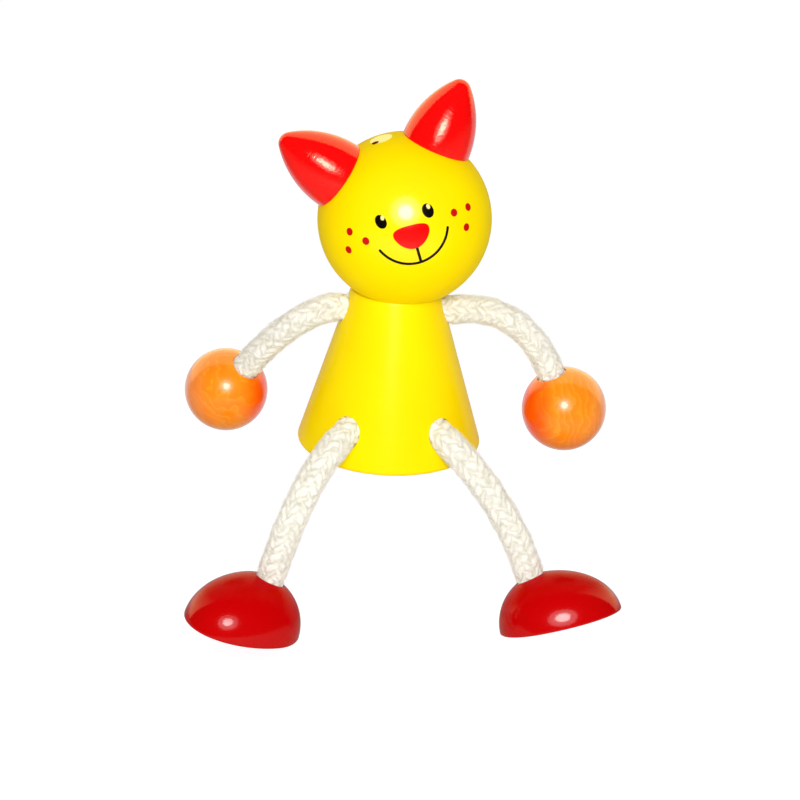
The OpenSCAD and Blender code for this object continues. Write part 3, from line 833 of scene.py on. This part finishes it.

# The crown's flat is painted pale yellow: a painted reflection
crown_flat = round_spot(head_axes, crown_flat_r / mm, 0.1)
# Painted shade: the hole's inside is painted dark brown over its bare wood
hole_painted_shade = round_spot(crown_axes, crown_hole_r / mm + 0.06, 0.08)
colour = drifting(head_finish, *yellow)
# Printed marks, then the crown's painted reflection and the hole's painted shade
for mask, print_and_painted_light in ((freckles, (0.56, 0.004, 0.006, 1)), (nose, (0.94, 0.0, 0.0, 1)),
                         (black, (0.002, 0.001, 0.002, 1)), (pupil_dots, (0.95, 0.80, 0.30, 1)),
                         (crown_flat, (1.0, 0.98, 0.24, 1)), (hole_painted_shade, (0.16, 0.03, 0.002, 1))):
    colour = head_finish.mix(mask, colour, print_and_painted_light)
front = head_finish.along(seen, on_face(0, 22)[2] @ head_axes)
head_finish.surface(Base_Color=colour, Coat_Weight=((front - 0.80) * 8.0).most(crown_flat).held())
head_finish.grained(head_finish.noise(head_finish.place(), 900.0, 3.0, 0.6), **fine_pores)
paint(turned_head, head_finish, "yellow_paint")

# %% [markdown]
# ## Stained wood
# The hands are stained orange and varnished, so the grain shows through: bands of growth, paler
# and yellower between them, bent by noise, and short fine pores along the grain.

# %% Stain for the hands
def orange_stain(name, middle, turn, inward):
    """Growth rings as waves round an axis that passes beside the ball, bent by broad noise. The
    third power of a wave leaves thin pale lines. The side toward the torso is made redder by painted
    shade, and the side away from it is made paler by a painted pinkish sheen."""
    finish = Finish(name, Coat_Weight=1.0, Coat_Roughness=0.17, IOR=1.5, Specular_IOR_Level=0.2)
    where = finish.stretched(finish.place(), (1, 1, 1), turn, tuple(ring_axis - middle))
    bend = finish.noise(where, 60.0)
    wave = finish.node("ShaderNodeTexWave", {
        "wave_type": "RINGS", "rings_direction": "Z", "wave_profile": "SAW"}, {
        "Vector": where, "Scale": 170.0, "Distortion": 11.0, "Detail": 2.0, "Detail Scale": 1.3})
    band = (wave * wave * wave).least(1.0)
    colour = finish.mix(((bend - 0.42) * 3.0).held(0.7), (1.0, 0.30, 0.004, 1), (1.0, 0.20, 0.0, 1))
    colour = finish.mix(band * 0.45, colour, (1.0, 0.47, 0.03, 1))
    # Painted light: redder toward the torso as painted shade, paler and pinker away from it as a painted
    # sheen
    toward = finish.past(middle, inward)
    colour = finish.mix(((toward - 3.5) * 0.18).held(0.9), colour, (1.0, 0.045, 0.0, 1))
    colour = finish.mix(((toward + 4.0) * -0.12).held(0.7), colour, (1.0, 0.30, 0.10, 1))
    finish.surface(Base_Color=colour)
    finish.grained(finish.noise(finish.stretched(where, (1, 1, 0.12)), 1600.0), 0.3, 0.1, 0.1, 0.06 * mm)
    return finish

ring_axis = np.array([6.0, 4.0, 0.0]) * mm
for side, turn, inward in (("left", (0.5, 0.2, 0.3), -1.0), ("right", (0.9, -0.5, 0.1), 1.0)):
    stain = orange_stain(f"orange_{side}_hand_stain", limbs[f"{side}_arm"]["middle"], turn,
                         np.array([inward, 0.0, 0.0]))
    paint(turned_hands[side], stain, "orange_stain")

# %% [markdown]
# ## Cotton
# Cotton is matt, with a soft sheen. The braid's own attribute says which way a strand runs, so a
# noise stretched along it draws the fine fibres, and the grooves get a darker, warmer painted shade.

# %% Cotton for the ropes
cotton = Finish("cream_cotton", Sheen_Weight=0.25, Sheen_Roughness=0.5, IOR=1.4)
lay = cotton.node("ShaderNodeAttribute", {"attribute_name": "lay"}, {}, "Vector")
depth = cotton.along(lay, (0, 0, 1))
fibres = cotton.noise(cotton.stretched(lay, (1.1, 9.0, 0.0)), 1.6, 3.0, 0.6)
tufts = cotton.noise(cotton.place(), 700.0)
# Painted shade: the lower the braid lies, the darker and warmer its colour
colour = cotton.mix((depth * 1.5 - 0.42).held(), (0.76, 0.76, 0.66, 1), (0.98, 0.99, 0.96, 1))
colour = cotton.mix(((0.50 - fibres) * 2.5).held(0.35), colour, (0.80, 0.79, 0.68, 1))
cotton.surface(Base_Color=colour, Roughness=0.9, Normal=cotton.bump(fibres + tufts * 0.6, 0.55, 0.25 * mm))
for piece in rope_pieces:
    paint(piece, cotton, "cream_rope")

# %% [markdown]
# ## What stays hidden
# The dowel in the neck and the pegs in the ears are bare turned wood inside the toy. They keep the
# solids' own meshes and get a pale wood with a lengthwise grain.

# %% Bare wood for dowel and pegs
bare = Finish("bare_dowel_wood", IOR=1.45)
grain = bare.noise(bare.stretched(bare.place(), (1, 1, 0.1)), 600.0, 4.0)
bare.surface(Base_Color=bare.mix(grain, (0.62, 0.42, 0.24, 1), (0.82, 0.64, 0.42, 1)))
bare.grained(grain, 0.6, 0.2, 0.3, 0.1 * mm)
for node in ("neck_dowel", "left_ear_peg", "right_ear_peg"):
    paint(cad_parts[node], bare, "bare_wood")

# %% Let each turned piece ride on its body
rides = [(turned_torso, "torso", "torso"), (turned_head, "torso", "head")]
for side in ("left", "right"):
    rides += [(painted_ears[side], "torso", f"{side}_ear"),
              (turned_hands[side], f"{side}_hand", f"{side}_hand"),
              (painted_feet[side], f"{side}_foot", f"{side}_foot")]
for piece, body, node in rides:
    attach(piece, body)
    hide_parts(node)
    print(f"{piece.name} rides on {body} in place of {node}")

# %% [markdown]
# ## Floor, world and lamps
# A broad lamp with a brighter middle stands just above the camera, as a flash in a soft box does.
# Only the toy's gloss sees the pale wall behind it and the warmer ceiling clearly: the pale bands
# along the ears' edges are their image. The floor looks white to the camera, keeps the toy's soft
# shadow and lies a little lower than the feet ever swing.

# %% A white floor that keeps the shadow
def ray_kinds(web):
    """1 for rays from the camera or through glass, and 1 for rays from gloss."""
    node = web.tree.nodes.new("ShaderNodeLightPath")
    camera_ray, glossy, clear = (Wire(web, node.outputs[n]) for n in
                                 ("Is Camera Ray", "Is Glossy Ray", "Is Transmission Ray"))
    return camera_ray.most(clear), glossy

floor_finish = Finish("white_floor", Base_Color=(0.9, 0.9, 0.9, 1), Roughness=0.9)
to_camera, to_gloss = ray_kinds(floor_finish)
from_toy = floor_finish.vector("SUBTRACT", {0: floor_finish.place(), 1: (0, 0, 0.05)})
far = floor_finish.vector("LENGTH", {0: from_toy}, "Value")
pale = ((floor_finish.along(from_toy, -toward_camera) - far * 0.40) * 20.0).held()
glow = floor_finish.node("ShaderNodeEmission", {}, {
    "Color": (0.98, 1.0, 1.05, 1), "Strength": to_camera * 1.42 + to_gloss * (0.04 + pale * 1.1)})
both = floor_finish.node("ShaderNodeMixShader", {}, {
    0: to_camera.most(to_gloss) * 0.6, 1: floor_finish.shader, 2: glow})
floor_finish.feed(floor_finish.output.inputs[0], both)
half, level = 3.0, lowest - 8 * mm
floor_mesh = bpy.data.meshes.new("floor")
corners = [(x * half, y * half, level) for x, y in ((-1, -1), (1, -1), (1, 1), (-1, 1))]
floor_mesh.from_pydata(corners, [], [(0, 1, 2, 3)])
floor_mesh.materials.append(floor_finish.material)
floor = bpy.data.objects.new("floor", floor_mesh)
bpy.context.scene.collection.objects.link(floor)
print(f"floor {level / mm:.1f} mm from the seat")

# %% The world
world = bpy.data.worlds.new("plain_world")
world.use_nodes = True
bpy.context.scene.world = world
sky = Web(world.node_tree)
to_camera, to_gloss = ray_kinds(sky)
behind, overhead = (sky.along(sky.node("ShaderNodeTexCoord", {}, {}, "Generated"), axis)
                    for axis in (-toward_camera, up))
panel = ((behind + overhead.most(0.0) * 0.75 - 0.40) * 25.0).held()
above = (overhead * 3.0).held()
around_toy = to_gloss * (0.02 + panel * (0.9 + above)) + (1 - to_gloss) * 0.46
tint = sky.mix(to_gloss * above, (1.0, 0.87, 0.70, 1), (1.0, 0.80, 0.42, 1))
background = sky.node("ShaderNodeBackground", {}, {
    "Color": sky.mix(to_camera, tint, (1, 1, 1, 1)), "Strength": to_camera + (1 - to_camera) * around_toy})
sky.feed(sky.tree.nodes.new("ShaderNodeOutputWorld").inputs[0], background)
print("world of", len(sky.tree.nodes), "nodes")

# %% The lamps
lamp_way = heading(-90 - camera_turn + 1, camera_rise + 8)

def lamp(name, distance, size, watts):
    """A round area lamp at a distance from the camera's aim, which it looks at."""
    data = bpy.data.lights.new(name, "AREA")
    data.shape, data.size, data.energy = "DISK", size, watts
    stand(bpy.data.objects.new(name, data), frame_on(lamp_way, np.cross([0, 0, 1], lamp_way)),
          camera_aim + distance * lamp_way)
    print(f"{name}: {size} m across, {watts} W, {distance} m away")

lamp("broad_lamp", 0.46, 0.30, 0.58)
lamp("bright_middle", 0.45, 0.14, 0.86)

# %% Look of the render
bpy.context.scene.view_settings.view_transform = "Standard"
